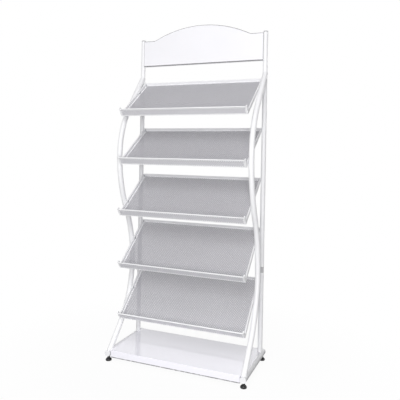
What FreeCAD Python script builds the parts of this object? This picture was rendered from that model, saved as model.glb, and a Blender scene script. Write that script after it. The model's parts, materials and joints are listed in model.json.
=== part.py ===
"""Document display rack: five sloped, lipped trays between two side frames, with a shelf at the bottom.

Millimetres. +Z is up, the rack faces -Y, and the origin is on the floor under the middle of the base.
Each side frame is a runner with a straight rear post and a tube bent in an S standing on it.
"""
import FreeCAD, Part
import math
import os

from FreeCAD import Placement, Rotation, Vector

# Trays: a sheet with a folded lip, framed by bars and a rod along the lip's edge. The openings are a
# coarse grid that stands for fine holes all over the sheet, with about the same open share.
TRAY_WIDTH = 626.0
TRAY_DEPTH = 300.0
TRAY_SHEET = 1.0
TRAY_LIP = 40.0
RAIL_HEIGHT = 15.0
RAIL_THICKNESS = 6.0
RAIL_ROUNDING = 2.0
RAIL_UPRIGHT = 12.0
BACK_RAIL_THICKNESS = 3.5
BACK_RAIL_ROUNDING = 1.5
LIP_ROD_DIAMETER = 6.0
TRAY_BEHIND_POST = 12.0
LOWEST_TRAY_HEIGHT = 384.0
TRAY_PITCH = 235.0
TRAY_SLOPES = (36.5, 35.0, 37.0, 41.0, 42.5)
OPENING_COLUMNS = 12
OPENING_ROWS = 6
OPENING_MARGIN = 6.0
OPENING_SHARE = 0.5

# Rear posts, in two sections with a connector between them
POST_DIAMETER = 22.0
POST_WALL = 1.2
POST_ABOVE_TOP_TRAY = 228.0
JOINT_ABOVE_NUTS = 5.8
CONNECTOR_BAND = 28.0
CONNECTOR_BAND_STEP = 0.4
CONNECTOR_SPIGOT = 28.0
TUBE_PLUG_CLEARANCE = 0.1
CAP_HEIGHT = 6.0
CAP_ROUNDING = 4.0
CAP_STEM = 15.0

# Wave tubes: reach is how far the centre line stands in front of the post's axis
WAVE_DIAMETER = 25.0
WAVE_WALL = 1.2
WAIST_REACH = 72.5
WAIST_ABOVE_LOWEST_TRAY = 47.0
BULGE_BEHIND_LIP = 20.75
BULGE_BELOW_TOP_TRAY = 358.0
BULGE_TRAY = 1
WAVE_UPPER_RADIUS = 350.0
WAVE_TOP_ABOVE_TOP_TRAY = 35.2
WAVE_LOWER_RADIUS = 440.0
WAVE_FOOT_ANGLE = 42.0

# Header panel
HEADER_BELOW_POST_TOP = 2.0
HEADER_SHOULDER = 130.0
HEADER_ARCH_RISE = 61.0
HEADER_SHOULDER_WIDTH = 65.0
HEADER_KINK_RADIUS = 35.0
HEADER_SHEET = 1.2
HEADER_LAP = 5.0
HEADER_LAP_CLEARANCE = 0.3
HEADER_FLANGE = 20.0
HEADER_BOLT_INSET = 32.0

# Runners: tubes that carry the posts, the wave tubes and the feet, with a plug in each end
RUNNER_DIAMETER = 28.0
RUNNER_WALL = 1.5
RUNNER_CLEARANCE = 22.0
RUNNER_BEFORE_WAVE = 24.0
RUNNER_BEHIND_POST = 42.0
RUNNER_PLUG_HEAD = 2.0
RUNNER_PLUG_ROUNDING = 1.2
RUNNER_PLUG_STEM = 5.0
COPE_DEPTH = 7.0
COPE_CLEARANCE = 0.05

# Base pan, bolted between the runners as a bottom shelf
BASE_HEIGHT = 31.5
BASE_SHEET = 1.2
BASE_RETURN = 20.0
BASE_BEND_RADIUS = 2.0
BASE_SETBACK = 6.0
BASE_BOLT_INSET = 60.0

# Levelling feet
FOOT_INSET = 14.0
PAD_DIAMETER = 28.0
PAD_RIM = 7.0
PAD_HEIGHT = 11.5
PAD_CROWN_DIAMETER = 18.0
PAD_SOCKET_FLOOR = 2.0
STUD_DIAMETER = 8.0
STUD_TOP = 40.0
STUD_HEX = 13.0
STUD_HEX_HEIGHT = 4.0
STUD_SEAT_GAP = 0.3
FOOT_NUT_DIAMETER = 11.0
FOOT_NUT_LENGTH = 12.0
FOOT_NUT_FLANGE_DIAMETER = 15.0
RUNNING_CLEARANCE = 0.05

# Bolts of the trays, the header and the base pan, and the flanged rivet nuts that take them
BOLT_DIAMETER = 6.0
BOLT_HEAD_DIAMETER = 10.5
BOLT_HEAD_HEIGHT = 3.0
BOLT_HEAD_ROUNDING = 1.5
BOLT_SOCKET_HEX = 4.0
BOLT_SOCKET_DEPTH = 1.8
BOLT_LENGTH = 15.0
BOLT_HOLE_CLEARANCE = 0.3
NUT_DIAMETER = 9.0
NUT_LENGTH = 9.0
NUT_FLANGE_DIAMETER = 12.0
NUT_FLANGE = 1.0
NUT_HOLE_CLEARANCE = 0.1
NUT_SEAT_CLEARANCE = 0.05

# Places worked out from the sizes above
tray_half = TRAY_WIDTH / 2
rail_face_x = tray_half - RAIL_THICKNESS
lip_rod_height = TRAY_LIP - LIP_ROD_DIAMETER / 2
post_radius = POST_DIAMETER / 2
wave_radius = WAVE_DIAMETER / 2
tube_face_x = tray_half + NUT_FLANGE
post_x = tube_face_x + post_radius
wave_x = tube_face_x + wave_radius
runner_radius = RUNNER_DIAMETER / 2
runner_x = tube_face_x + runner_radius
runner_height = RUNNER_CLEARANCE + runner_radius
base_top = RUNNER_CLEARANCE + RUNNER_DIAMETER
base_bottom = base_top - BASE_HEIGHT
cope_floor = base_top - COPE_DEPTH
top_tray_height = LOWEST_TRAY_HEIGHT + (len(TRAY_SLOPES) - 1) * TRAY_PITCH
post_height = top_tray_height + POST_ABOVE_TOP_TRAY
header_shoulder = post_height - HEADER_BELOW_POST_TOP
header_bottom = header_shoulder - HEADER_SHOULDER
plug_radius = post_radius - POST_WALL - TUBE_PLUG_CLEARANCE

waist_height = LOWEST_TRAY_HEIGHT + WAIST_ABOVE_LOWEST_TRAY
bulge_height = top_tray_height - BULGE_BELOW_TOP_TRAY
bulge_lip_reach = TRAY_DEPTH * math.cos(math.radians(TRAY_SLOPES[BULGE_TRAY])) - TRAY_BEHIND_POST
bulge_reach = bulge_lip_reach - BULGE_BEHIND_LIP
foot_angle = math.radians(WAVE_FOOT_ANGLE)
wave_top = top_tray_height + WAVE_TOP_ABOVE_TOP_TRAY
foot_arc_reach = WAIST_REACH + WAVE_LOWER_RADIUS * (1 - math.cos(foot_angle))
foot_arc_height = waist_height - WAVE_LOWER_RADIUS * math.sin(foot_angle)
wave_foot_reach = foot_arc_reach + (foot_arc_height - base_top) * math.tan(foot_angle)
runner_length = RUNNER_BEHIND_POST + wave_foot_reach + RUNNER_BEFORE_WAVE
half_depth = runner_length / 2
post_y = half_depth - RUNNER_BEHIND_POST
pan_half_depth = half_depth - BASE_SETBACK
foot_y = half_depth - FOOT_INSET

SIDES = {"left": -1, "right": 1}
UP = Vector(0, 0, 1)
ALONG_X = Vector(1, 0, 0)
ALONG_Y = Vector(0, 1, 0)


def save(node, *solids):
    """Write one node, a single solid or a group of separate ones."""
    shape = solids[0] if len(solids) == 1 else Part.makeCompound(solids)
    shape.exportStep("parts/%s.step" % node)


def rod(radius, start, end):
    """Cylinder between two points."""
    axis = end - start
    return Part.makeCylinder(radius, axis.Length, start, axis)


def hex_prism(across_flats, start, end):
    """Six-sided prism between two points."""
    axis = end - start
    corner = across_flats / math.sqrt(3)
    turn = Rotation(UP, axis)
    ring = []
    for step in range(6):
        angle = step * math.pi / 3
        ring.append(start + turn.multVec(Vector(corner * math.cos(angle), corner * math.sin(angle), 0)))
    return Part.Face(Part.makePolygon(ring + ring[:1])).extrude(axis)


def block(x, y, z):
    """Box from three (low, high) pairs."""
    return Part.makeBox(x[1] - x[0], y[1] - y[0], z[1] - z[0], Vector(x[0], y[0], z[0]))


def cross_bore(radius, y, z):
    """Cutter along X, through both sides of a tray or of the header."""
    return rod(radius, Vector(-tube_face_x, y, z), Vector(tube_face_x, y, z))


# Wave tubes

def wave_point(reach, height, side):
    return Vector(side * wave_x, post_y - reach, height)


def wave_path(side):
    """Centre line of the S: straight, four tangent arcs, straight; bottom to top."""
    rise = bulge_height - waist_height
    run = bulge_reach - WAIST_REACH
    s_radius = (rise * rise + run * run) / (4 * run)
    s_angle = 2 * math.atan2(run, rise)

    def lower(turn):
        return wave_point(WAIST_REACH + WAVE_LOWER_RADIUS * (1 - math.cos(turn)),
                          waist_height - WAVE_LOWER_RADIUS * math.sin(turn), side)

    def waist(turn):
        return wave_point(WAIST_REACH + s_radius * (1 - math.cos(turn)),
                          waist_height + s_radius * math.sin(turn), side)

    def bulge(turn):
        return wave_point(bulge_reach - s_radius * (1 - math.cos(turn)),
                          bulge_height - s_radius * math.sin(turn), side)

    def upper(turn):
        return wave_point(bulge_reach - WAVE_UPPER_RADIUS * (1 - math.cos(turn)),
                          bulge_height + WAVE_UPPER_RADIUS * math.sin(turn), side)

    below = base_top - WAVE_DIAMETER
    start_reach = foot_arc_reach + (foot_arc_height - below) * math.tan(foot_angle)
    centre_to_top = math.hypot(WAVE_UPPER_RADIUS - bulge_reach, wave_top - bulge_height)
    top_angle = math.atan2(wave_top - bulge_height, WAVE_UPPER_RADIUS - bulge_reach)
    upper_angle = top_angle - math.acos(WAVE_UPPER_RADIUS / centre_to_top)
    upper_end = upper(upper_angle)
    curves = [
        Part.LineSegment(wave_point(start_reach, below, side), lower(foot_angle)),
        Part.Arc(lower(foot_angle), lower(foot_angle / 2), lower(0)),
        Part.Arc(waist(0), waist(s_angle / 2), waist(s_angle)),
        Part.Arc(bulge(s_angle), bulge(s_angle / 2), bulge(0)),
        Part.Arc(upper(0), upper(upper_angle / 2), upper_end),
        Part.LineSegment(upper_end, wave_point(0, wave_top, side)),
    ]
    return Part.Wire([curve.toShape() for curve in curves])


def swept(path, radius):
    """Round bar along a path."""
    first = path.OrderedEdges[0]
    start, heading = first.valueAt(first.FirstParameter), first.tangentAt(first.FirstParameter)
    circle = Part.Circle(start, heading, radius)
    return path.makePipeShell([Part.Wire([circle.toShape()])], True, False)


def wave_tube(side, spots):
    """Bent tube, coped onto the runner at its foot and round the post's front at its top."""
    path = wave_path(side)
    tube = swept(path, wave_radius).cut(swept(path, wave_radius - WAVE_WALL))
    post_axis = Vector(side * post_x, post_y, 0)
    across = (-2 * runner_x, 2 * runner_x)
    below = block(across, (-runner_length, runner_length), (0, cope_floor))
    behind = block(across, (post_y, post_y + runner_length), (0, post_height))
    round_post = rod(post_radius + COPE_CLEARANCE, post_axis, post_axis + UP * post_height)
    cutters = [below, behind, round_post, round_runner(side)]
    tube = tube.cut(cutters + [nut_hole(side, y, z) for y, z in spots])
    return max(tube.Solids, key=lambda solid: solid.Volume)


# Rear posts

def post_tube(side, low, high, spots):
    """Length of post tube, clear of the runner, with holes for the rivet nuts that fall on it."""
    foot = Vector(side * post_x, post_y, low)
    top = Vector(side * post_x, post_y, high)
    bore = rod(post_radius - POST_WALL, foot, top)
    holes = [nut_hole(side, y, z) for y, z in spots if low < z < high]
    return rod(post_radius, foot, top).cut([bore, round_runner(side)] + holes)


def joint_ends(tray_spots):
    """Top of the lower post and bottom of the upper one, just above the lowest tray's nuts."""
    nut_height = tray_spots[-1][0][1]
    low = nut_height + NUT_DIAMETER / 2 + JOINT_ABOVE_NUTS + CONNECTOR_SPIGOT
    return low, low + CONNECTOR_BAND


def post_connector(side, lower_post_top, upper_post_bottom):
    """Plug that joins the two post sections, with a bare collar between them."""
    axis = Vector(side * post_x, post_y, 0)
    band = rod(post_radius - CONNECTOR_BAND_STEP, axis + UP * lower_post_top, axis + UP * upper_post_bottom)
    spigot = rod(plug_radius, axis + UP * (lower_post_top - CONNECTOR_SPIGOT),
                 axis + UP * (upper_post_bottom + CONNECTOR_SPIGOT))
    return band.fuse(spigot).removeSplitter()


def post_cap(side):
    """Domed plug in the post's open top."""
    foot = Vector(side * post_x, post_y, post_height)
    head = rod(post_radius, foot, foot + UP * CAP_HEIGHT)
    rim = [edge for edge in head.Edges if edge.BoundBox.ZMin > post_height + CAP_HEIGHT / 2]
    stem = rod(plug_radius, foot - UP * CAP_STEM, foot)
    return head.makeFillet(CAP_ROUNDING, rim).fuse(stem).removeSplitter()


# Trays

def tray_place(index):
    """Placement that takes tray coordinates (x, back to front, up from the sheet) to the rack."""
    corner = Vector(0, post_y + TRAY_BEHIND_POST, top_tray_height - index * TRAY_PITCH)
    return Placement(corner, Rotation(ALONG_X, TRAY_SLOPES[index]) * Rotation(UP, 180))


def tray_bolt_spots(index):
    """Where a tray's side rails cross the axes of the post and of the wave tube, as (y, z)."""
    place = tray_place(index)
    middle = RAIL_HEIGHT / 2
    back = place.multVec(Vector(0, 0, middle))
    front = place.multVec(Vector(0, TRAY_DEPTH, middle))
    at_post = back + (front - back) * ((back.y - post_y) / (back.y - front.y))
    across = Vector(wave_x, 0, 0)
    rail_line = Part.LineSegment(back + across, front + across).toShape()
    at_wave = rail_line.distToShape(wave_path(1))[1][0][0]
    return (at_post.y, at_post.z), (at_wave.y, at_wave.z)


def opening_grid(half_width, start, end, rows):
    """Openings of one flat face of a tray, as (across, along) pairs of (low, high)."""
    column = 2 * (half_width - OPENING_MARGIN) / OPENING_COLUMNS
    row = (end - start - 2 * OPENING_MARGIN) / rows
    wide = column * OPENING_SHARE
    deep = row * OPENING_SHARE
    grid = []
    for i in range(OPENING_COLUMNS):
        x = OPENING_MARGIN - half_width + (i + 0.5) * column
        for j in range(rows):
            along = start + OPENING_MARGIN + (j + 0.5) * row
            grid.append(((x - wide / 2, x + wide / 2), (along - deep / 2, along + deep / 2)))
    return grid


def tray_lip():
    """Lip's plain sheet, between the rails' uprights and up into the rod."""
    lip_back = TRAY_DEPTH - TRAY_SHEET
    return block((-rail_face_x, rail_face_x), (lip_back, TRAY_DEPTH), (0, lip_rod_height))


def tray_sheet(index):
    """Sheet between the rails, folded up at the front into a lip, with openings."""
    lip_back = TRAY_DEPTH - TRAY_SHEET
    slope = block((-rail_face_x, rail_face_x), (BACK_RAIL_THICKNESS, TRAY_DEPTH), (0, TRAY_SHEET))
    slope_grid = opening_grid(rail_face_x, BACK_RAIL_THICKNESS, lip_back, OPENING_ROWS)
    lip_grid = opening_grid(rail_face_x, TRAY_SHEET, lip_rod_height, 1)
    cutters = [block(across, along, (0, TRAY_SHEET)) for across, along in slope_grid]
    cutters += [block(across, (lip_back, TRAY_DEPTH), along) for across, along in lip_grid]
    sheet = slope.fuse(tray_lip()).removeSplitter().cut(cutters)
    sheet.Placement = tray_place(index)
    return sheet


def tray_lip_rod(index):
    """Rod along the lip's upper edge, grooved to sit on the sheet, between the rails' uprights."""
    middle = TRAY_DEPTH - TRAY_SHEET / 2
    ends = [Vector(side * rail_face_x, middle, lip_rod_height) for side in SIDES.values()]
    edge_rod = rod(LIP_ROD_DIAMETER / 2, *ends).cut(tray_lip())
    edge_rod.Placement = tray_place(index)
    return edge_rod


def rounded_bar(across, along, up, lengthwise, rounding=RAIL_ROUNDING):
    """Box in tray coordinates, its edges along one direction rounded except at its underside."""
    bar = block(across, along, up)
    worn = []
    for edge in bar.Edges:
        direction = edge.tangentAt(edge.FirstParameter)
        if abs(direction.dot(lengthwise)) > 0.5 and edge.BoundBox.ZMax > up[1] / 2:
            worn.append(edge)
    return bar.makeFillet(rounding, worn)


def tray_side_rail(index, side, spots):
    """Bar on edge along the sheet's side, with an upright at the lip's end, drilled for two bolts."""
    across = sorted((side * rail_face_x, side * tray_half))
    upright = (TRAY_DEPTH - RAIL_UPRIGHT, TRAY_DEPTH)
    bar = rounded_bar(across, (0, TRAY_DEPTH - RAIL_ROUNDING), (0, RAIL_HEIGHT), ALONG_Y)
    lip_end = rounded_bar(across, upright, (0, TRAY_LIP), UP)
    rail = bar.fuse(lip_end).removeSplitter()
    rail.Placement = tray_place(index)
    return rail.cut([cross_bore(BOLT_DIAMETER / 2 + BOLT_HOLE_CLEARANCE, y, z) for y, z in spots])


def tray_back_rail(index):
    """Bar on edge along the sheet's back, between the side rails."""
    across = (-rail_face_x, rail_face_x)
    along = (0, BACK_RAIL_THICKNESS)
    rail = rounded_bar(across, along, (0, RAIL_HEIGHT), ALONG_X, BACK_RAIL_ROUNDING)
    rail.Placement = tray_place(index)
    return rail


# Side bolts and rivet nuts

def side_bolt(side, seat_x, y, z):
    """Button-head bolt along X: head inside the tray or header, shank out into the tube."""
    seat = Vector(side * seat_x, y, z)
    out = Vector(side, 0, 0)
    crown = seat - out * BOLT_HEAD_HEIGHT
    head = rod(BOLT_HEAD_DIAMETER / 2, crown, seat)
    half_way = (crown + seat) * 0.5
    rim = [edge for edge in head.Edges if (edge.CenterOfMass - half_way).dot(out) < -BOLT_HEAD_HEIGHT / 4]
    socket = hex_prism(BOLT_SOCKET_HEX, crown, crown + out * BOLT_SOCKET_DEPTH)
    shank = rod(BOLT_DIAMETER / 2 - RUNNING_CLEARANCE, seat, seat + out * BOLT_LENGTH)
    return head.makeFillet(BOLT_HEAD_ROUNDING, rim).fuse(shank).cut(socket).removeSplitter()


def rivet_nut(side, y, z):
    """Threaded sleeve in a tube's inner side, with a thin flange between the tube and what is bolted on."""
    face = Vector(side * tray_half, y, z)
    out = Vector(side, 0, 0)
    end = face + out * (NUT_FLANGE + NUT_LENGTH)
    flange = rod(NUT_FLANGE_DIAMETER / 2, face, face + out * (NUT_FLANGE - NUT_SEAT_CLEARANCE))
    sleeve = rod(NUT_DIAMETER / 2, face, end)
    return flange.fuse(sleeve).cut(rod(BOLT_DIAMETER / 2, face, end)).removeSplitter()


def nut_hole(side, y, z):
    """Cutter for a rivet nut's hole through a tube's inner side."""
    face = Vector(side * tray_half, y, z)
    end = face + Vector(side * (NUT_FLANGE + NUT_LENGTH), 0, 0)
    return rod(NUT_DIAMETER / 2 + NUT_HOLE_CLEARANCE, face, end)


# Header

def header_bolt_spots():
    """Two bolts each side, on the posts' axes."""
    low = header_bottom + HEADER_BOLT_INSET
    high = header_shoulder - HEADER_BOLT_INSET
    return [(post_y, low), (post_y, high)]


def header_outline(half_width, inset, y):
    """Panel outline, arched between flat shoulders, pulled in all round by inset."""
    half_span = tray_half + HEADER_LAP - HEADER_SHOULDER_WIDTH
    arch = (half_span * half_span + HEADER_ARCH_RISE * HEADER_ARCH_RISE) / (2 * HEADER_ARCH_RISE)
    centre = header_shoulder + HEADER_ARCH_RISE - arch
    kink_z = header_shoulder + HEADER_KINK_RADIUS
    kink_x = math.sqrt((arch + HEADER_KINK_RADIUS) ** 2 - (kink_z - centre) ** 2)
    lean = math.atan2(kink_x, kink_z - centre)
    kink = HEADER_KINK_RADIUS + inset
    radius = arch - inset
    side_x = half_width - inset
    low = header_bottom + inset
    high = header_shoulder - inset

    def point(x, z):
        return Vector(x, y, z)

    def on_kink(side, turn):
        return point(side * (kink_x - kink * math.sin(turn)), kink_z - kink * math.cos(turn))

    def on_arch(turn):
        return point(radius * math.sin(turn), centre + radius * math.cos(turn))

    curves = [
        Part.LineSegment(point(-side_x, low), point(side_x, low)),
        Part.LineSegment(point(side_x, low), point(side_x, high)),
        Part.LineSegment(point(side_x, high), on_kink(1, 0)),
        Part.Arc(on_kink(1, 0), on_kink(1, lean / 2), on_kink(1, lean)),
        Part.Arc(on_arch(lean), on_arch(0), on_arch(-lean)),
        Part.Arc(on_kink(-1, lean), on_kink(-1, lean / 2), on_kink(-1, 0)),
        Part.LineSegment(on_kink(-1, 0), point(-side_x, high)),
        Part.LineSegment(point(-side_x, high), point(-side_x, low)),
    ]
    return Part.Face(Part.Wire([curve.toShape() for curve in curves]))


def header_panel():
    """Front skin that laps the posts, and a folded flange that stands between them."""
    lap_x = post_x - tray_half - HEADER_LAP
    skin_back = post_y - math.sqrt(post_radius ** 2 - lap_x ** 2) - HEADER_LAP_CLEARANCE
    depth = Vector(0, HEADER_FLANGE, 0)
    skin_front = skin_back - HEADER_SHEET
    skin = header_outline(tray_half + HEADER_LAP, 0, skin_front).extrude(Vector(0, HEADER_SHEET, 0))
    flange = header_outline(tray_half, 0, skin_back).extrude(depth)
    hollow = header_outline(tray_half, HEADER_SHEET, skin_back).extrude(depth)
    panel = skin.fuse(flange.cut(hollow)).removeSplitter()
    hole = BOLT_DIAMETER / 2 + BOLT_HOLE_CLEARANCE
    return panel.cut([cross_bore(hole, y, z) for y, z in header_bolt_spots()])


# Runners and base pan

def runner_axis(side, y):
    return Vector(side * runner_x, y, runner_height)


def round_runner(side):
    """Cutter that copes a tube's foot onto the runner."""
    return rod(runner_radius + COPE_CLEARANCE, runner_axis(side, -half_depth), runner_axis(side, half_depth))


def base_bolt_spots():
    """Two bolts each side of the pan, at the height of the runners' axes."""
    y = pan_half_depth - BASE_BOLT_INSET
    return [(-y, runner_height), (y, runner_height)]


def runner(side):
    """Tube from front to back, with holes for the pan's rivet nuts and for the feet's nuts."""
    ends = runner_axis(side, RUNNER_PLUG_HEAD - half_depth), runner_axis(side, half_depth - RUNNER_PLUG_HEAD)
    cutters = [rod(runner_radius - RUNNER_WALL, *ends)]
    cutters += [nut_hole(side, y, z) for y, z in base_bolt_spots()]
    for y in (-foot_y, foot_y):
        axis = runner_axis(side, y)
        cutters.append(rod(FOOT_NUT_DIAMETER / 2 + NUT_HOLE_CLEARANCE, axis - UP * runner_radius, axis))
    return rod(runner_radius, *ends).cut(cutters)


def runner_plug(side, end):
    """Round plug with a low head, in the front (end -1) or rear (end 1) of a runner."""
    inward = Vector(0, -end, 0)
    face = runner_axis(side, end * half_depth)
    seat = face + inward * RUNNER_PLUG_HEAD
    head = rod(runner_radius, face, seat)
    rim = [edge for edge in head.Edges if (edge.CenterOfMass - face).Length < RUNNER_PLUG_HEAD / 4]
    stem = rod(runner_radius - RUNNER_WALL - TUBE_PLUG_CLEARANCE, seat, seat + inward * RUNNER_PLUG_STEM)
    return head.makeFillet(RUNNER_PLUG_ROUNDING, rim).fuse(stem).removeSplitter()


def base_pan():
    """Folded pan: top sheet, skirts and a return along the bottom."""
    whole = block((-tray_half, tray_half), (-pan_half_depth, pan_half_depth), (base_bottom, base_top))
    bends = [edge for edge in whole.Edges if edge.BoundBox.ZMax > base_top - BASE_SHEET]
    under_top = base_top - BASE_SHEET
    inner_x, inner_y = tray_half - BASE_SHEET, pan_half_depth - BASE_SHEET
    inside = block((-inner_x, inner_x), (-inner_y, inner_y), (base_bottom + BASE_SHEET, under_top))
    mouth_x, mouth_y = tray_half - BASE_RETURN, pan_half_depth - BASE_RETURN
    mouth = block((-mouth_x, mouth_x), (-mouth_y, mouth_y), (0, under_top))
    hole = BOLT_DIAMETER / 2 + BOLT_HOLE_CLEARANCE
    holes = [cross_bore(hole, y, z) for y, z in base_bolt_spots()]
    return whole.makeFillet(BASE_BEND_RADIUS, bends).cut([inside, mouth] + holes)


# Feet

def foot_nut(x, y):
    """Flanged rivet nut in the runner's underside, which takes the foot's stud."""
    seat = Vector(x, y, RUNNER_CLEARANCE)
    low = seat - UP * NUT_FLANGE
    high = seat + UP * FOOT_NUT_LENGTH
    flange = rod(FOOT_NUT_FLANGE_DIAMETER / 2, low, seat - UP * NUT_SEAT_CLEARANCE)
    sleeve = rod(FOOT_NUT_DIAMETER / 2, low, high)
    return flange.fuse(sleeve).cut(rod(STUD_DIAMETER / 2 + RUNNING_CLEARANCE, low, high)).removeSplitter()


def foot_pad(x, y):
    """Round pad with a straight rim, a sloped crown and a socket for the stud."""
    rim = PAD_DIAMETER / 2
    crown = PAD_CROWN_DIAMETER / 2
    socket = STUD_DIAMETER / 2 + RUNNING_CLEARANCE
    profile = [(0, 0), (rim, 0), (rim, PAD_RIM), (crown, PAD_HEIGHT), (socket, PAD_HEIGHT),
               (socket, PAD_SOCKET_FLOOR), (0, PAD_SOCKET_FLOOR), (0, 0)]
    face = Part.Face(Part.makePolygon([Vector(x + r, y, z) for r, z in profile]))
    return face.revolve(Vector(x, y, 0), UP, 360)


def foot_stud(x, y):
    """Threaded stud that turns in the pad, with a hexagon for a spanner."""
    axis = Vector(x, y, 0)
    shank = rod(STUD_DIAMETER / 2, axis + UP * (PAD_SOCKET_FLOOR + STUD_SEAT_GAP), axis + UP * STUD_TOP)
    hex_low = PAD_HEIGHT + STUD_SEAT_GAP
    collar = hex_prism(STUD_HEX, axis + UP * hex_low, axis + UP * (hex_low + STUD_HEX_HEIGHT))
    return shank.fuse(collar).removeSplitter()


# Write the nodes

def build_side_frames(tray_spots):
    post_spots = [at_post for at_post, at_wave in tray_spots] + header_bolt_spots()
    wave_spots = [at_wave for at_post, at_wave in tray_spots]
    lower_post_top, upper_post_bottom = joint_ends(tray_spots)
    for name, side in SIDES.items():
        save(name + "_lower_post", post_tube(side, cope_floor, lower_post_top, post_spots))
        save(name + "_upper_post", post_tube(side, upper_post_bottom, post_height, post_spots))
        save(name + "_post_connector", post_connector(side, lower_post_top, upper_post_bottom))
        save(name + "_post_cap", post_cap(side))
        save(name + "_wave_tube", wave_tube(side, wave_spots))
        save(name + "_runner", runner(side))
        save(name + "_runner_plugs", runner_plug(side, -1), runner_plug(side, 1))


def build_trays(tray_spots):
    nuts = []
    for index, spots in enumerate(tray_spots):
        node = "tray_%d" % (index + 1)
        places = [(side, y, z) for side in SIDES.values() for y, z in spots]
        save(node + "_sheet", tray_sheet(index))
        save(node + "_back_rail", tray_back_rail(index))
        save(node + "_lip_rod", tray_lip_rod(index))
        for name, side in SIDES.items():
            save("%s_%s_rail" % (node, name), tray_side_rail(index, side, spots))
        save(node + "_bolts", *[side_bolt(side, rail_face_x, y, z) for side, y, z in places])
        nuts += [rivet_nut(*place) for place in places]
    save("tray_rivet_nuts", *nuts)


def build_header():
    places = [(side, y, z) for side in SIDES.values() for y, z in header_bolt_spots()]
    save("header_panel", header_panel())
    save("header_bolts", *[side_bolt(side, tray_half - HEADER_SHEET, y, z) for side, y, z in places])
    save("header_rivet_nuts", *[rivet_nut(*place) for place in places])


def build_base():
    places = [(side, y, z) for side in SIDES.values() for y, z in base_bolt_spots()]
    save("base_pan", base_pan())
    save("base_bolts", *[side_bolt(side, tray_half - BASE_SHEET, y, z) for side, y, z in places])
    save("base_rivet_nuts", *[rivet_nut(*place) for place in places])


def build_feet():
    corners = {}
    for end, y in (("front", -foot_y), ("rear", foot_y)):
        for name, side in SIDES.items():
            corners["%s_%s" % (end, name)] = (side * runner_x, y)
    save("foot_nuts", *[foot_nut(x, y) for x, y in corners.values()])
    for corner, (x, y) in corners.items():
        save(corner + "_foot_pad", foot_pad(x, y))
        save(corner + "_foot_stud", foot_stud(x, y))


os.makedirs("parts", exist_ok=True)
spots_by_tray = [tray_bolt_spots(index) for index in range(len(TRAY_SLOPES))]
build_side_frames(spots_by_tray)
build_trays(spots_by_tray)
build_header()
build_base()
build_feet()
print("post %.2f, %.2f; foot %.2f, %.2f" % (post_x, post_y, runner_x, foot_y))
print("base %.1f x %.1f" % (2 * (runner_x + runner_radius), runner_length))
print("tray bolts", [[(round(y, 1), round(z, 1)) for y, z in spots] for spots in spots_by_tray])
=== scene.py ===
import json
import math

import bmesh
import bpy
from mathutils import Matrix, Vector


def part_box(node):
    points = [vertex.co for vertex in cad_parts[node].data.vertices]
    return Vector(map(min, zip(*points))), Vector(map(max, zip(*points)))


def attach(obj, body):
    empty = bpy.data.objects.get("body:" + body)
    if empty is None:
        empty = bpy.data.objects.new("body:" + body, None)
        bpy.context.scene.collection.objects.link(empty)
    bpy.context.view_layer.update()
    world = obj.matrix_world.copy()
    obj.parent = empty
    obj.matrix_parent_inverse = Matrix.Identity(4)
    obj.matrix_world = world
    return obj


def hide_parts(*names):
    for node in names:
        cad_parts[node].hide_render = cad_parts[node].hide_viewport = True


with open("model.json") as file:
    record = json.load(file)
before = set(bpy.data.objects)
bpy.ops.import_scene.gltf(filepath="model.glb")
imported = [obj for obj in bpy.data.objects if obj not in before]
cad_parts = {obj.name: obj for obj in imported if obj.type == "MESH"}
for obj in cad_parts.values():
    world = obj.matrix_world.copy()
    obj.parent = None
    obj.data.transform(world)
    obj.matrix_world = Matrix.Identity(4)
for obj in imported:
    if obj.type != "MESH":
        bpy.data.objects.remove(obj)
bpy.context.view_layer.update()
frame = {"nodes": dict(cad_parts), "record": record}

# %% [markdown]
# # Looks of a document display rack
# The rack's real shapes are already here: every tube, rail, panel, bolt and foot was made as a solid.
# This script gives them their finishes, swaps the plain tray sheets, header and feet for finer ones, and
# sets up the light and the camera.

nodes = frame["nodes"]
scene = bpy.context.scene
scene.view_settings.view_transform = "Standard"

# %% [markdown]
# ## Camera
# The rack is seen from its right, from a little above half its height, almost level. The lens and the
# place come from fitting the posts, trays and base to the picture. The picture's horizon is
# above its middle, which a camera shows with a vertical shift, and the camera was held a degree askew.

# %% Camera
CAMERA_PLACE = Vector((0.8903, -2.0846, 0.9643))
CAMERA_YAW = math.radians(21.913)
CAMERA_RISE = math.radians(0.198)
CAMERA_ROLL = math.radians(1.106)
SENSOR_MM = 36.0
LENS_MM = 43.19
HORIZON_SHIFT = -0.1149

camera = bpy.data.objects.new("camera", bpy.data.cameras.new("camera"))
scene.collection.objects.link(camera)
camera.data.sensor_width = SENSOR_MM
camera.data.lens = LENS_MM
camera.data.shift_y = HORIZON_SHIFT
turn = Matrix.Rotation(CAMERA_YAW, 4, "Z") @ Matrix.Rotation(math.pi / 2 + CAMERA_RISE, 4, "X")
camera.matrix_world = Matrix.Translation(CAMERA_PLACE) @ turn @ Matrix.Rotation(CAMERA_ROLL, 4, "Z")
scene.camera = camera
print("camera", tuple(round(v, 3) for v in camera.location), "lens", LENS_MM)

# %% [markdown]
# ## Light and floor
# A studio's white sweep is a floor and a backdrop that show white to the camera and in reflections,
# while the light on the rack comes from lamps of a plain strength. Two large soft lamps stand in front,
# near the camera's side, so that the tubes are pale in the middle and fall off to both edges. One is low,
# for the lips, which face down a little. A third stands behind, above the rack, and lights its back, and
# a strip with a narrow beam reaches the bottom shelf past the lowest tray. Round the rack the floor
# mixes in a little plain white paper, which takes the rack's shadow, and further out it is all white.

# %% World
FILL_LIGHT = 0.28
FILL_TONE = (0.98, 0.98, 1.0, 1.0)
WHITE = (1.0, 1.0, 1.0, 1.0)


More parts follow.
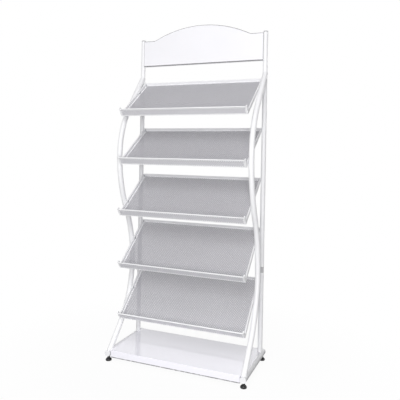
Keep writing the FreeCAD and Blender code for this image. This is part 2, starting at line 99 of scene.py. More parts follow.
def seen_by_camera(tree):
    """Factor that is 1 for rays from the camera, in reflections and through glass."""
    path = tree.nodes.new("ShaderNodeLightPath")
    factor = path.outputs["Is Camera Ray"]
    for kind in ("Is Glossy Ray", "Is Transmission Ray"):
        either = tree.nodes.new("ShaderNodeMath")
        either.operation = "MAXIMUM"
        tree.links.new(factor, either.inputs[0])
        tree.links.new(path.outputs[kind], either.inputs[1])
        factor = either.outputs[0]
    return factor


def mix_shaders(tree, factor, first, second):
    """Mix Shader node that goes from the first shader to the second as the factor rises."""
    mix = tree.nodes.new("ShaderNodeMixShader")
    tree.links.new(factor, mix.inputs["Fac"])
    tree.links.new(first.outputs[0], mix.inputs[1])
    tree.links.new(second.outputs[0], mix.inputs[2])
    return mix


world = bpy.data.worlds.new("white_studio")
world.use_nodes = True
scene.world = world
tree = world.node_tree
tree.nodes.clear()
fill = tree.nodes.new("ShaderNodeBackground")
fill.inputs["Color"].default_value = FILL_TONE
fill.inputs["Strength"].default_value = FILL_LIGHT
backdrop = tree.nodes.new("ShaderNodeBackground")
backdrop.inputs["Color"].default_value = WHITE
sky = mix_shaders(tree, seen_by_camera(tree), fill, backdrop)
tree.links.new(sky.outputs[0], tree.nodes.new("ShaderNodeOutputWorld").inputs["Surface"])
print("fill light", FILL_LIGHT)

# %% Floor
FLOOR_HALF = 12.0
SHADOW_SHARE = 0.05
SHADOW_NEAR = 0.40
SHADOW_FAR = 1.10
FLOOR_TONE = (0.42, 0.42, 0.42, 1.0)
PAPER_TONE = (0.95, 0.95, 0.95, 1.0)

sweep = bpy.data.materials.new("white_sweep")
sweep.use_nodes = True
tree = sweep.node_tree
tree.nodes.clear()
studio_grey = tree.nodes.new("ShaderNodeBsdfDiffuse")
studio_grey.inputs["Color"].default_value = FLOOR_TONE
paper = tree.nodes.new("ShaderNodeBsdfDiffuse")
paper.inputs["Color"].default_value = PAPER_TONE
glow = tree.nodes.new("ShaderNodeEmission")
distance = tree.nodes.new("ShaderNodeVectorMath")
distance.operation = "LENGTH"
tree.links.new(tree.nodes.new("ShaderNodeTexCoord").outputs["Object"], distance.inputs[0])
fade = tree.nodes.new("ShaderNodeMapRange")
tree.links.new(distance.outputs["Value"], fade.inputs["Value"])
fade.inputs["From Min"].default_value = SHADOW_NEAR
fade.inputs["From Max"].default_value = SHADOW_FAR
fade.inputs["To Min"].default_value = 1.0 - SHADOW_SHARE
shown = mix_shaders(tree, fade.outputs["Result"], paper, glow)
ground = mix_shaders(tree, seen_by_camera(tree), studio_grey, shown)
tree.links.new(ground.outputs[0], tree.nodes.new("ShaderNodeOutputMaterial").inputs["Surface"])

ground_mesh = bmesh.new()
bmesh.ops.create_grid(ground_mesh, x_segments=2, y_segments=2, size=FLOOR_HALF)
floor_data = bpy.data.meshes.new("studio_floor")
ground_mesh.to_mesh(floor_data)
ground_mesh.free()
floor_data.materials.append(sweep)
floor = bpy.data.objects.new("studio_floor", floor_data)
scene.collection.objects.link(floor)
print("floor", 2 * FLOOR_HALF, "m square, shadow out to", SHADOW_FAR, "m")

# %% Lamps
def soft_lamp(name, place, aim, width, height, watts, beam=math.pi):
    """Rectangular area lamp that faces a point, with a wide or narrow beam."""
    lamp = bpy.data.lights.new(name, "AREA")
    lamp.shape = "RECTANGLE"
    lamp.size = width
    lamp.size_y = height
    lamp.energy = watts
    lamp.spread = beam
    holder = bpy.data.objects.new(name, lamp)
    scene.collection.objects.link(holder)
    holder.location = place
    holder.rotation_euler = (Vector(aim) - Vector(place)).to_track_quat("-Z", "Y").to_euler()


RACK_MIDDLE = (0.0, 0.0, 0.80)
SHELF_FRONT = (0.0, -0.10, 0.05)
SHELF_BEAM = math.radians(8)
soft_lamp("low_lamp", (1.4, -3.8, 0.8), RACK_MIDDLE, width=1.6, height=1.6, watts=68.0)
soft_lamp("high_lamp", (0.8, -5.0, 3.5), RACK_MIDDLE, width=2.6, height=2.6, watts=140.0)
soft_lamp("back_lamp", (0.3, 4.2, 2.2), RACK_MIDDLE, width=2.0, height=2.0, watts=58.0)
soft_lamp("shelf_lamp", (0.0, -1.6, 2.65), SHELF_FRONT, width=0.8, height=0.1, watts=0.12, beam=SHELF_BEAM)

# %% [markdown]
# ## Powder coat
# White powder coat is paint melted on as dust. Close up it has an orange-peel skin with cells of a
# millimetre or two, and its gloss and tone drift a little from place to place. One node group holds
# these three things, and each coated material places it with its own tones and gloss.

# %% Powder coat group
def new_group(name, inputs, outputs):
    """Empty shader group with named sockets: inputs as (kind, name, value), outputs as (kind, name)."""
    group = bpy.data.node_groups.new(name, "ShaderNodeTree")
    for kind, label, value in inputs:
        socket = group.interface.new_socket(label, in_out="INPUT", socket_type="NodeSocket" + kind)
        socket.default_value = value
    for kind, label in outputs:
        group.interface.new_socket(label, in_out="OUTPUT", socket_type="NodeSocket" + kind)
    entry = group.nodes.new("NodeGroupInput")
    leave = group.nodes.new("NodeGroupOutput")
    return group, entry.outputs, leave.inputs


def noise(tree, coordinates, scale, detail):
    """Noise texture in the given space; scale may be a socket or a number."""
    texture = tree.nodes.new("ShaderNodeTexNoise")
    tree.links.new(coordinates, texture.inputs["Vector"])
    texture.inputs["Detail"].default_value = detail
    if isinstance(scale, (int, float)):
        texture.inputs["Scale"].default_value = scale
    else:
        tree.links.new(scale, texture.inputs["Scale"])
    return texture.outputs[0]


# A Mix node has a socket A and B for each kind of data, so those for colours are taken by number.
MIX_FACTOR = 0
MIX_FIRST = 6
MIX_SECOND = 7
MIX_RESULT = 2


def blend_colours(tree, factor, first, second):
    """Colour that goes from the first socket to the second as the factor rises."""
    mix = tree.nodes.new("ShaderNodeMix")
    mix.data_type = "RGBA"
    tree.links.new(factor, mix.inputs[MIX_FACTOR])
    tree.links.new(first, mix.inputs[MIX_FIRST])
    tree.links.new(second, mix.inputs[MIX_SECOND])
    return mix.outputs[MIX_RESULT]


NOISE_LOW = 0.3
NOISE_HIGH = 0.7


def spread(tree, value, low, high):
    """Noise value stretched from its usual range to a wanted one; low and high are sockets."""
    stretch = tree.nodes.new("ShaderNodeMapRange")
    tree.links.new(value, stretch.inputs["Value"])
    stretch.inputs["From Min"].default_value = NOISE_LOW
    stretch.inputs["From Max"].default_value = NOISE_HIGH
    tree.links.new(low, stretch.inputs["To Min"])
    tree.links.new(high, stretch.inputs["To Max"])
    return stretch.outputs["Result"]


coat_group, given, made = new_group(
    "powder_coat",
    [("Color", "Pale tone", (0.9, 0.9, 0.9, 1)), ("Color", "Deep tone", (0.85, 0.85, 0.85, 1)),
     ("Float", "Cloud scale", 5.0), ("Float", "Peel scale", 650.0),
     ("Float", "Gloss low", 0.3), ("Float", "Gloss high", 0.4)],
    [("Color", "Color"), ("Float", "Roughness"), ("Float", "Height")])
space = coat_group.nodes.new("ShaderNodeTexCoord").outputs["Object"]
clouds = noise(coat_group, space, given["Cloud scale"], detail=3.0)
peel = noise(coat_group, space, given["Peel scale"], detail=2.0)
coat_tone = blend_colours(coat_group, clouds, given["Deep tone"], given["Pale tone"])
coat_gloss = spread(coat_group, clouds, given["Gloss low"], given["Gloss high"])
coat_group.links.new(coat_tone, made["Color"])
coat_group.links.new(coat_gloss, made["Roughness"])
coat_group.links.new(peel, made["Height"])
print("group", coat_group.name, "outputs", [s.name for s in made if s.name])

# %% [markdown]
# A second group paints shade low down, where surfaces turn away from the lamps: it greys a colour below
# a height, in uneven streaks that fade out upwards, for the runners and for the shelf's lowest edge.

# %% Painted low shade group
STREAK_SCALE = 45.0
STREAK_LOW = 0.2
STREAK_HIGH = 0.5

# Painted shade: this group greys a colour towards the bottom, in streaks, to stand in for shade low down.
low_shade_group, given, made = new_group(
    "painted_low_shade",
    [("Color", "Lit tone", (0.9, 0.9, 0.9, 1)), ("Color", "Scuffed tone", (0.4, 0.4, 0.4, 1)),
     ("Float", "Low height", 0.02), ("Float", "High height", 0.04)],
    [("Color", "Color")])
space = low_shade_group.nodes.new("ShaderNodeTexCoord").outputs["Object"]
axes = low_shade_group.nodes.new("ShaderNodeSeparateXYZ")
low_shade_group.links.new(space, axes.inputs[0])
height = low_shade_group.nodes.new("ShaderNodeMapRange")
low_shade_group.links.new(axes.outputs["Z"], height.inputs["Value"])
low_shade_group.links.new(given["High height"], height.inputs["From Min"])
low_shade_group.links.new(given["Low height"], height.inputs["From Max"])
streaks = low_shade_group.nodes.new("ShaderNodeMapRange")
low_shade_group.links.new(noise(low_shade_group, space, STREAK_SCALE, detail=4.0), streaks.inputs["Value"])
streaks.inputs["From Min"].default_value = STREAK_LOW
streaks.inputs["From Max"].default_value = STREAK_HIGH
amount = low_shade_group.nodes.new("ShaderNodeMath")
amount.operation = "MULTIPLY"
low_shade_group.links.new(height.outputs["Result"], amount.inputs[0])
low_shade_group.links.new(streaks.outputs["Result"], amount.inputs[1])
scuffed = blend_colours(low_shade_group, amount.outputs[0], given["Lit tone"], given["Scuffed tone"])
low_shade_group.links.new(scuffed, made["Color"])
print("group", low_shade_group.name)

# %% Coated materials
LACQUER_ROUGHNESS = 0.12
PEEL_DEPTH = 0.0001
PEEL_STRENGTH = 0.6


def shader(name):
    """New material with its Principled shader."""
    material = bpy.data.materials.new(name)
    material.use_nodes = True
    return material, material.node_tree, material.node_tree.nodes["Principled BSDF"]


def use_group(tree, group, **values):
    """Place a group; a value named gloss_low sets the socket Gloss low."""
    node = tree.nodes.new("ShaderNodeGroup")
    node.node_tree = group
    for key, value in values.items():
        node.inputs[key.replace("_", " ").capitalize()].default_value = value
    return node.outputs


def bump(tree, surface, height, depth_m, strength):
    """Bump node of a real depth in metres, on the shader's Normal."""
    node = tree.nodes.new("ShaderNodeBump")
    node.inputs["Distance"].default_value = depth_m
    node.inputs["Strength"].default_value = strength
    tree.links.new(height, node.inputs["Height"])
    tree.links.new(node.outputs["Normal"], surface.inputs["Normal"])


def powder_coated(name, pale, deep, gloss, shine=0.35, lacquer=0.0, low_shade=None):
    """Material for one coat: linear colours, gloss as (low, high) roughness, painted shade below a height as
    (low, high, tone).
    """
    material, tree, surface = shader(name)
    surface.inputs["Specular IOR Level"].default_value = shine
    surface.inputs["Coat Weight"].default_value = lacquer
    surface.inputs["Coat Roughness"].default_value = LACQUER_ROUGHNESS
    skin = use_group(tree, coat_group, pale_tone=(*pale, 1), deep_tone=(*deep, 1),
                     gloss_low=gloss[0], gloss_high=gloss[1])
    colour = skin["Color"]
    # Painted shade: the colour is greyed in streaks below a height.
    if low_shade:
        low, high, tone = low_shade
        low_shaded = use_group(tree, low_shade_group, low_height=low, high_height=high,
                           scuffed_tone=(tone, tone, tone, 1))
        tree.links.new(colour, low_shaded["Color"].node.inputs["Lit tone"])
        colour = low_shaded["Color"]
    tree.links.new(colour, surface.inputs["Base Color"])
    tree.links.new(skin["Roughness"], surface.inputs["Roughness"])
    bump(tree, surface, skin["Height"], PEEL_DEPTH, PEEL_STRENGTH)
    return material


FRAME_PALE = (0.94, 0.94, 0.95)
FRAME_DEEP = (0.90, 0.90, 0.915)
FRAME_GLOSS = (0.40, 0.50)
frame_coat = powder_coated("frame_white_coat", FRAME_PALE, FRAME_DEEP, FRAME_GLOSS)
# The runners' lower sides are greyed below a height: painted shade on the white coat.
runner_coat = powder_coated("runner_white_coat", FRAME_PALE, FRAME_DEEP, FRAME_GLOSS,
                            low_shade=(0.028, 0.047, 0.30))
header_coat = powder_coated("header_white_coat", pale=(0.935, 0.93, 0.96), deep=(0.90, 0.895, 0.925),
                            gloss=(0.34, 0.44))
# A thin band at the shelf's lowest edge is greyed almost black: painted shade where the bend turns under.
base_coat = powder_coated("base_white_coat", pale=(0.92, 0.91, 0.975), deep=(0.89, 0.88, 0.945),
                          gloss=(0.16, 0.24), shine=1.0, lacquer=1.0, low_shade=(0.0205, 0.0240, 0.10))
# Dark grey for the header's rounded folds: painted shade along the arch and the bottom edge.
fold_shade_coat = powder_coated("painted_fold_shade", pale=(0.30, 0.30, 0.305), deep=(0.24, 0.24, 0.245),
                          gloss=(0.45, 0.55))
# The slope coat is the white powder coat painted grey: painted shade for the dark seen through and inside
# the holes.
slope_shade_coat = powder_coated("tray_slope_painted_shade", pale=(0.505, 0.50, 0.53), deep=(0.465, 0.46, 0.49),
                          gloss=(0.38, 0.50))
# The lip coat is the same white coat, greyed less than the slope: painted shade, lighter on the lip.
lip_shade_coat = powder_coated("tray_lip_painted_shade", pale=(0.72, 0.715, 0.745), deep=(0.67, 0.665, 0.695),
                         gloss=(0.38, 0.50))
coats = (frame_coat, runner_coat, header_coat, base_coat, fold_shade_coat, slope_shade_coat, lip_shade_coat)
print("coats", [coat.name for coat in coats])

# %% [markdown]
# ## Moulded plastic and plated steel
# The feet are black moulded plastic with a fine spark-eroded grain, the post connectors and caps are
# pale grey, and the runners' plugs are white. Bolts and nuts are zinc-plated: metal whose gloss drifts in
# patches, with faint turning marks. The studs are blackened steel with the same drift.

# %% Plastic and zinc groups
FLOW_SCALE = 40.0
TURNING_SCALE = 2500.0

plastic_group, given, made = new_group(
    "moulded_plastic",
    [("Color", "Pale tone", (0.1, 0.1, 0.1, 1)), ("Color", "Deep tone", (0.05, 0.05, 0.05, 1)),
     ("Float", "Grain scale", 1800.0)],
    [("Color", "Color"), ("Float", "Roughness"), ("Float", "Height")])
space = plastic_group.nodes.new("ShaderNodeTexCoord").outputs["Object"]
grain = noise(plastic_group, space, given["Grain scale"], detail=1.0)
flow = noise(plastic_group, space, FLOW_SCALE, detail=2.0)
plastic_tone = blend_colours(plastic_group, flow, given["Deep tone"], given["Pale tone"])
plastic_group.links.new(plastic_tone, made["Color"])
plastic_group.links.new(grain, made["Roughness"])
plastic_group.links.new(grain, made["Height"])

zinc_group, given, made = new_group(
    "zinc_plate",
    [("Color", "Pale tone", (0.7, 0.71, 0.73, 1)), ("Color", "Deep tone", (0.55, 0.56, 0.57, 1)),
     ("Float", "Patch scale", 120.0)],
    [("Color", "Color"), ("Float", "Roughness"), ("Float", "Height")])
space = zinc_group.nodes.new("ShaderNodeTexCoord").outputs["Object"]
patches = noise(zinc_group, space, given["Patch scale"], detail=4.0)
marks = noise(zinc_group, space, TURNING_SCALE, detail=1.0)
zinc_tone = blend_colours(zinc_group, patches, given["Deep tone"], given["Pale tone"])
zinc_group.links.new(zinc_tone, made["Color"])
zinc_group.links.new(patches, made["Roughness"])
zinc_group.links.new(marks, made["Height"])
print("groups", plastic_group.name, zinc_group.name)

# %% Plastic and zinc materials
GRAIN_DEPTH = 0.00005
GRAIN_STRENGTH = 0.5
TURNING_DEPTH = 0.00002
TURNING_STRENGTH = 0.4


def moulded(name, pale, deep):
    """Material for one moulded plastic, with linear colours."""
    material, tree, surface = shader(name)
    skin = use_group(tree, plastic_group, pale_tone=(*pale, 1), deep_tone=(*deep, 1))
    tree.links.new(skin["Color"], surface.inputs["Base Color"])
    tree.links.new(skin["Roughness"], surface.inputs["Roughness"])
    bump(tree, surface, skin["Height"], GRAIN_DEPTH, GRAIN_STRENGTH)
    return material


def plated(name, pale, deep):
    """Material for one plated steel, with linear colours."""
    material, tree, surface = shader(name)
    surface.inputs["Metallic"].default_value = 1.0
    skin = use_group(tree, zinc_group, pale_tone=(*pale, 1), deep_tone=(*deep, 1))
    tree.links.new(skin["Color"], surface.inputs["Base Color"])
    tree.links.new(skin["Roughness"], surface.inputs["Roughness"])
    bump(tree, surface, skin["Height"], TURNING_DEPTH, TURNING_STRENGTH)
    return material


foot_black = moulded("foot_black_plastic", pale=(0.010, 0.010, 0.011), deep=(0.006, 0.006, 0.007))
connector_grey = moulded("connector_grey_plastic", pale=(0.58, 0.58, 0.59), deep=(0.50, 0.50, 0.51))
plug_white = moulded("plug_white_plastic", pale=(0.90, 0.90, 0.91), deep=(0.84, 0.84, 0.86))
cap_pale = moulded("cap_pale_plastic", pale=(0.58, 0.58, 0.59), deep=(0.50, 0.50, 0.51))
zinc_steel = plated("zinc_plated_steel", pale=(0.66, 0.67, 0.69), deep=(0.52, 0.53, 0.54))
black_steel = plated("blackened_steel", pale=(0.09, 0.09, 0.09), deep=(0.05, 0.05, 0.05))
others = (foot_black, connector_grey, plug_white, cap_pale, zinc_steel, black_steel)
print("materials", [finish.name for finish in others])

# %% [markdown]
# ## Dress the solids
# Each solid names a finish in the record. A table takes that name to one of the materials above. The
# runners, greyed low down with painted shade, and the post caps, which are greyer than the plugs, have their
# own.

# %% Give each node its finish
FINISHES = {
    "frame_coat": frame_coat, "tray_sheet_coat": slope_shade_coat, "header_coat": header_coat,
    "base_coat": base_coat, "connector_plastic": connector_grey, "cap_plastic": plug_white,
    "foot_plastic": foot_black, "black_steel": black_steel, "zinc_steel": zinc_steel,
}
for entry in frame["record"]["subparts"]:
    solid = nodes[entry["node"]]
    solid.data.materials.clear()
    solid.data.materials.append(FINISHES[entry["material_slot"]])
for side in ("left", "right"):
    nodes[f"{side}_runner"].data.materials[0] = runner_coat
    nodes[f"{side}_post_cap"].data.materials[0] = cap_pale

# %% [markdown]
# ## Shelf's side lips
# The bottom shelf's top sheet runs out over the runners on both sides and rests on them, so no trough
# shows between shelf and runner. Each lip is a strip of the same sheet with rounded corners.

# %% Shelf lips
MILLIMETRE = 0.001
SHELF_STEEL = 0.0012
SHELF_OVERLAP = 0.003
SHELF_PAST_MIDDLE = 0.001
SHELF_ABOVE_RUNNER = 0.0003
SHELF_CORNER = 0.003
SHELF_EDGE = 0.0004


def add_piece(name, mesh_data, materials, body="frame"):
    """Object for a finished mesh, riding on a body, with the given materials."""
    piece = bpy.data.objects.new(name, mesh_data)
    scene.collection.objects.link(piece)
    for material in materials:
        mesh_data.materials.append(material)
    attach(piece, body)
    return piece


def finished(mesh, name):
    """Blender mesh from a bmesh, with its faces turned outwards."""
    bmesh.ops.recalc_face_normals(mesh, faces=mesh.faces)
    data = bpy.data.meshes.new(name)
    mesh.to_mesh(data)
    mesh.free()
    return data


def strip(x, y, z, corner, edge):
    """Flat plate from three (low, high) pairs, with rounded corners and eased edges."""
    plate = bmesh.new()
    bmesh.ops.create_cube(plate, size=1.0)
    bmesh.ops.scale(plate, verts=plate.verts, vec=[high - low for low, high in (x, y, z)])
    bmesh.ops.translate(plate, verts=plate.verts, vec=[(low + high) / 2 for low, high in (x, y, z)])
    uprights = [e for e in plate.edges if abs(e.verts[0].co.z - e.verts[1].co.z) > 0.5 * (z[1] - z[0])]
    bmesh.ops.bevel(plate, geom=uprights, offset=corner, affect="EDGES", segments=6, profile=0.5,
                    material=-1)
    top = [e for e in plate.edges if min(v.co.z for v in e.verts) > sum(z) / 2]
    bmesh.ops.bevel(plate, geom=top, offset=edge, affect="EDGES", segments=2, profile=0.5, material=-1)
    return plate


pan_low, pan_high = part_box("base_pan")
for side, sign in (("left", -1), ("right", 1)):
    low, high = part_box(f"{side}_runner")
    runner_middle = (low.x + high.x) / 2
    reach = sorted((sign * (pan_high.x - SHELF_OVERLAP), runner_middle + sign * SHELF_PAST_MIDDLE))
    depth = (pan_low.y, pan_high.y)
    rise = (high.z - SHELF_STEEL, high.z + SHELF_ABOVE_RUNNER)
    lip_strip = strip(reach, depth, rise, SHELF_CORNER, SHELF_EDGE)
    name = f"shelf_{side}_lip"
    add_piece(name, finished(lip_strip, name), (base_coat,))
    print("shelf lip", side, "across", [round(v / MILLIMETRE, 1) for v in reach], "mm")

# %% [markdown]
# ## Header
# The header is a sheet with its edges folded back. The solid has sharp folds; the real ones are rounded,
# and on the rounded folds a thin dark grey band of painted shade follows the arch. A copy of the
# solid's mesh is merged and its flat faces joined, and only the front's outline is bevelled, so that the
# rounded band can have its own dark grey material, the painted shade. A Bevel modifier would be held back by
# the sheet's thin edges.

# %% Header with rounded folds
FOLD_RADIUS = 0.0030
MERGE_WITHIN = 0.00001
FLAT_WITHIN = math.radians(0.5)
FRONT_WITHIN = 0.0001

panel = bmesh.new()
panel.from_mesh(nodes["header_panel"].data)
bmesh.ops.remove_doubles(panel, verts=panel.verts, dist=MERGE_WITHIN)
bmesh.ops.dissolve_limit(panel, angle_limit=FLAT_WITHIN, verts=panel.verts, edges=panel.edges)
front = min(v.co.y for v in panel.verts) + FRONT_WITHIN
folds = [e for e in panel.edges if max(v.co.y for v in e.verts) < front]
rounded = bmesh.ops.bevel(panel, geom=folds, offset=FOLD_RADIUS, affect="EDGES", segments=3, profile=0.5,
                          material=-1)
# The rounded band takes the dark grey painted shade.
for face in rounded["faces"]:
    face.material_index = 1
header = add_piece("header_front", finished(panel, "header_front"), (header_coat, fold_shade_coat))
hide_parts("header_panel")
print("header folds", len(folds), "band faces", len(rounded["faces"]))

# %% [markdown]
# ## Levelling feet
# A foot is a moulded pad, gripped by its fluted rim, on a threaded stud with a hexagon for a spanner.
# The solids have the pad and the stud plain. Here half the pad's outline is drawn as an edge chain and
# spun into a pad, and every third corner of the rim is pulled in for the flutes. A thread is a small
# ridge wound round the stud: the same spin with a climb of one pitch for each turn.

# %% Pad and stud makers
FLUTES = 16
FLUTE_STEPS = 3
FLUTE_DEPTH = 0.0009
RIM_WITHIN = 0.0001
THREAD_PITCH = 0.00125
THREAD_STEPS = 20
HEX_ABOVE_PAD = 0.0003
HEX_HEIGHT = 0.004
HEX_ACROSS = 0.013
HEX_EDGE = 0.0004
PAD_OUTLINE = ((0, 0), (12.8, 0), (14.0, 1.0), (14.0, 6.0), (13.3, 7.2), (9.6, 10.9), (8.6, 11.5),
               (4.2, 11.5), (4.2, 2.0), (0, 2.0))
THREAD_OUTLINE = ((3.35, 0), (3.95, 0.5), (3.95, 0.75), (3.35, 1.25))


def chain(mesh, outline):
    """Edges through (radius, height) points in millimetres, in the XZ plane."""
    corners = [mesh.verts.new((radius * MILLIMETRE, 0, height * MILLIMETRE)) for radius, height in outline]
    return corners + [mesh.edges.new(pair) for pair in zip(corners, corners[1:])]


def fluted_pad():
    """Pad on the Z axis, from the floor up."""
    pad = bmesh.new()
    bmesh.ops.spin(pad, geom=chain(pad, PAD_OUTLINE), cent=(0, 0, 0), axis=(0, 0, 1), angle=2 * math.pi,
                   steps=FLUTE_STEPS * FLUTES, use_merge=True)
    bmesh.ops.remove_doubles(pad, verts=pad.verts, dist=MERGE_WITHIN)
    rim = max(v.co.xy.length for v in pad.verts) - RIM_WITHIN
    for corner in [v for v in pad.verts if v.co.xy.length > rim]:
        step = round(math.atan2(corner.co.y, corner.co.x) * FLUTE_STEPS * FLUTES / (2 * math.pi))
        if step % FLUTE_STEPS == 0:
            inward = -corner.co.xy.normalized().to_3d() * FLUTE_DEPTH
            bmesh.ops.translate(pad, verts=[corner], vec=inward)
    return pad


def threaded_stud(low, high, hex_low):
    """Stud on the Z axis, with its thread between two heights and its hexagon from a third one up."""
    stud = bmesh.new()
    turns = int((high - low) / THREAD_PITCH) - 1
    bmesh.ops.spin(stud, geom=chain(stud, THREAD_OUTLINE), cent=(0, 0, 0), axis=(0, 0, 1),
                   dvec=(0, 0, THREAD_PITCH / THREAD_STEPS), angle=2 * math.pi * turns,
                   steps=THREAD_STEPS * turns)
    bmesh.ops.translate(stud, verts=stud.verts, vec=(0, 0, low))
    bmesh.ops.remove_doubles(stud, verts=stud.verts, dist=MERGE_WITHIN)
    bmesh.ops.holes_fill(stud, edges=[e for e in stud.edges if e.is_boundary])
    radius = HEX_ACROSS / math.sqrt(3)
    collar = bmesh.ops.create_cone(stud, cap_ends=True, segments=6, radius1=radius, radius2=radius,
                                   depth=HEX_HEIGHT)["verts"]
    bmesh.ops.translate(stud, verts=collar, vec=(0, 0, hex_low + HEX_HEIGHT / 2))
    sides = list({e for v in collar for e in v.link_edges})
    bmesh.ops.bevel(stud, geom=sides, offset=HEX_EDGE, affect="EDGES", segments=2, profile=0.5, material=-1)
    return stud


# %% Four feet
for corner in ("front_left", "front_right", "rear_left", "rear_right"):
    pad_low, pad_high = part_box(f"{corner}_foot_pad")
    stud_low, stud_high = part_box(f"{corner}_foot_stud")
    axis = (pad_low + pad_high) / 2
    axis.z = 0
    pad = fluted_pad()
    bmesh.ops.translate(pad, verts=pad.verts, vec=axis)
    grip = add_piece(f"{corner}_fluted_pad", finished(pad, f"{corner}_fluted_pad"), (foot_black,),
                     body=f"{corner}_pad")
    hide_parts(f"{corner}_foot_pad")
    stud = threaded_stud(stud_low.z, stud_high.z, pad_high.z + HEX_ABOVE_PAD)
    bmesh.ops.translate(stud, verts=stud.verts, vec=axis)
    screw = add_piece(f"{corner}_threaded_stud", finished(stud, f"{corner}_threaded_stud"), (black_steel,),
                      body=f"{corner}_stud")
    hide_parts(f"{corner}_foot_stud")
    print(corner, "foot faces", len(grip.data.polygons), "stud faces", len(screw.data.polygons))

# %% [markdown]
# ## Perforated sheet
# The tray's slope and lip are punched all over with small round holes in staggered rows. They could be
# painted on with an alpha pattern, but real holes cast real shadows and show what lies behind. A grid
# turned by 45 degrees gives the stagger. It is trimmed to the sheet, each whole cell is inset, the
# inset's corners are cut to make an octagon, and the octagon is taken out. Solidify gives the steel.

# %% Perforated sheet maker
HOLE_PITCH = 0.0072
HOLE_ACROSS = 0.0032
WHOLE_CELL = 0.99
SHEET_STEEL = 0.001


def trim(mesh, point, outward):
    """Cut away what lies beyond a plane."""
    everything = mesh.verts[:] + mesh.edges[:] + mesh.faces[:]
    bmesh.ops.bisect_plane(mesh, geom=everything, plane_co=point, plane_no=outward, clear_outer=True)


def staggered_grid(width, low, high):
    """Flat sheet in X and Y from low to high, cut from a grid that is turned by 45 degrees."""
    half = width / 2
    reach = (half + (high - low) / 2) / math.sqrt(2) + HOLE_PITCH
    cells = math.ceil(2 * reach / HOLE_PITCH)
    sheet = bmesh.new()
    bmesh.ops.create_grid(sheet, x_segments=cells, y_segments=cells, size=cells * HOLE_PITCH / 2)
    bmesh.ops.rotate(sheet, verts=sheet.verts, matrix=Matrix.Rotation(math.pi / 4, 3, "Z"))
    bmesh.ops.translate(sheet, verts=sheet.verts, vec=(0, (low + high) / 2, 0))
    for point, outward in (((half, 0, 0), (1, 0, 0)), ((-half, 0, 0), (-1, 0, 0)),
                           ((0, high, 0), (0, 1, 0)), ((0, low, 0), (0, -1, 0))):
        trim(sheet, point, outward)
    return sheet


def octagons(sheet):
    """Faces with eight corners, which only the holes have."""
    return [face for face in sheet.faces if len(face.verts) == 8]


def drop_spare_corners(sheet):
    """Cutting an inset's corner also leaves a corner on the diagonal: weld it to the cell's own corner."""
    rims = {corner for hole in octagons(sheet) for corner in hole.verts}
    spare = {}
    for corner in rims:
        for edge in corner.link_edges:
            middle = edge.other_vert(corner)
            if middle not in rims:
                ends = [e.other_vert(middle) for e in middle.link_edges]
                spare[middle] = next(end for end in ends if end not in rims)
    bmesh.ops.weld_verts(sheet, targetmap=spare)


def punch(sheet, cells):
    """Take an octagon out of the middle of each cell, and count them."""
    bmesh.ops.inset_individual(sheet, faces=cells, thickness=(HOLE_PITCH - HOLE_ACROSS) / 2,
                               use_even_offset=True)
    corners = list({corner for cell in cells for corner in cell.verts})
    cut = HOLE_ACROSS / (2 + math.sqrt(2))
    bmesh.ops.bevel(sheet, geom=corners, offset=cut, affect="VERTICES", segments=1, profile=0.5,
                    material=-1)
    drop_spare_corners(sheet)
    holes = octagons(sheet)
    bmesh.ops.delete(sheet, geom=holes, context="FACES")
    return len(holes)


def perforated(width, low, high, side_margin, low_margin, high_margin):
    """Sheet of steel with holes inside the margins, and their number; its plain rim has material 1."""
    sheet = staggered_grid(width, low, high)
    punched = []
    for cell in sheet.faces:
        centre = cell.calc_center_median()
        across = abs(centre.x) < width / 2 - side_margin
        along = low + low_margin < centre.y < high - high_margin
        inside = across and along
        cell.material_index = 0 if inside else 1
        if inside and cell.calc_area() > WHOLE_CELL * HOLE_PITCH ** 2:
            punched.append(cell)
    holes = punch(sheet, punched)
    bmesh.ops.solidify(sheet, geom=sheet.faces[:], thickness=SHEET_STEEL)
    return sheet, holes


# %% Slope and lip patterns
TRAY_DEPTH = 0.300
TRAY_WIDTH = 0.626
RAIL_THICKNESS = 0.006
RAIL_HEIGHT = 0.015
BACK_RAIL_THICKNESS = 0.0035
LIP_HEIGHT = 0.040
LIP_ROD = 0.006
SIDE_BORDER = 0.0055
END_BORDER = 0.003
LIP_BORDER = 0.0075

inner_width = TRAY_WIDTH - 2 * RAIL_THICKNESS
slope, slope_holes = perforated(inner_width, BACK_RAIL_THICKNESS, TRAY_DEPTH - SHEET_STEEL,
                                SIDE_BORDER, END_BORDER, END_BORDER)
lip, lip_holes = perforated(inner_width, 0.0, LIP_HEIGHT - LIP_ROD / 2, SIDE_BORDER, END_BORDER, LIP_BORDER)
for name, sheet, holes in (("slope", slope, slope_holes), ("lip", lip, lip_holes)):
    low = [round(min(v.co[k] for v in sheet.verts) / MILLIMETRE, 2) for k in range(3)]
    high = [round(max(v.co[k] for v in sheet.verts) / MILLIMETRE, 2) for k in range(3)]
    triangles = sum(len(face.verts) - 2 for face in sheet.faces)
    print(name, "holes", holes, "triangles", triangles, "from", low, "to", high, "mm")

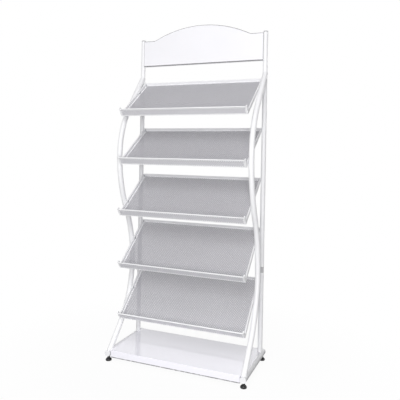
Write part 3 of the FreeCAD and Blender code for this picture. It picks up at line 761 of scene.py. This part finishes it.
# %% [markdown]
# ## Trays in place
# The five trays are the same sheet at slightly different slopes, so the patterns made above are copied
# and turned: the slope lies down along the tray, and the lip stands at its front, along the tray's own
# upward line. A tray's slope can be read from the box round its side rail, an L of known length and
# heights that leans by some angle: the box's depth and height are two equations for the angle's sine
# and cosine. The same box gives the tray's rear edge, where the slope starts.

# %% Place slopes and lips
TRAYS = 5


def tray_place(number):
    """Rear edge (Y, Z) and sine and cosine of the slope of one tray, read from its left rail."""
    low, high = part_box(f"tray_{number}_left_rail")
    run = high.y - low.y
    drop = high.z - low.z
    scale = TRAY_DEPTH ** 2 - LIP_HEIGHT * RAIL_HEIGHT
    cosine = (TRAY_DEPTH * run - LIP_HEIGHT * drop) / scale
    sine = (TRAY_DEPTH * drop - RAIL_HEIGHT * run) / scale
    return high.y, low.z + TRAY_DEPTH * sine, sine, cosine


def mesh_from(pattern, matrix, name):
    """Finished mesh of a pattern's copy, moved to its place."""
    copy = pattern.copy()
    bmesh.ops.transform(copy, matrix=matrix, verts=copy.verts)
    return finished(copy, name)


bmesh.ops.translate(slope, verts=slope.verts, vec=(0, 0, SHEET_STEEL))
bmesh.ops.translate(lip, verts=lip.verts, vec=(0, 0, TRAY_DEPTH))
for number in range(1, TRAYS + 1):
    y, z, sine, cosine = tray_place(number)
    forward = Vector((0, -cosine, -sine))
    upward = Vector((0, -sine, cosine))
    lie = Matrix(((-1, 0, 0, 0), (0, forward.y, upward.y, y), (0, forward.z, upward.z, z), (0, 0, 0, 1)))
    stand = Matrix(((1, 0, 0, 0), (0, upward.y, forward.y, y), (0, upward.z, forward.z, z), (0, 0, 0, 1)))
    mesh = add_piece(f"tray_{number}_slope", mesh_from(slope, lie, f"tray_{number}_slope"),
                     (slope_shade_coat, frame_coat))
    add_piece(f"tray_{number}_lip", mesh_from(lip, stand, f"tray_{number}_lip"),
              (lip_shade_coat, frame_coat))
    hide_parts(f"tray_{number}_sheet")
    print("tray", number, "slope", round(math.degrees(math.atan2(sine, cosine)), 2), "degrees")
slope.free()
lip.free()
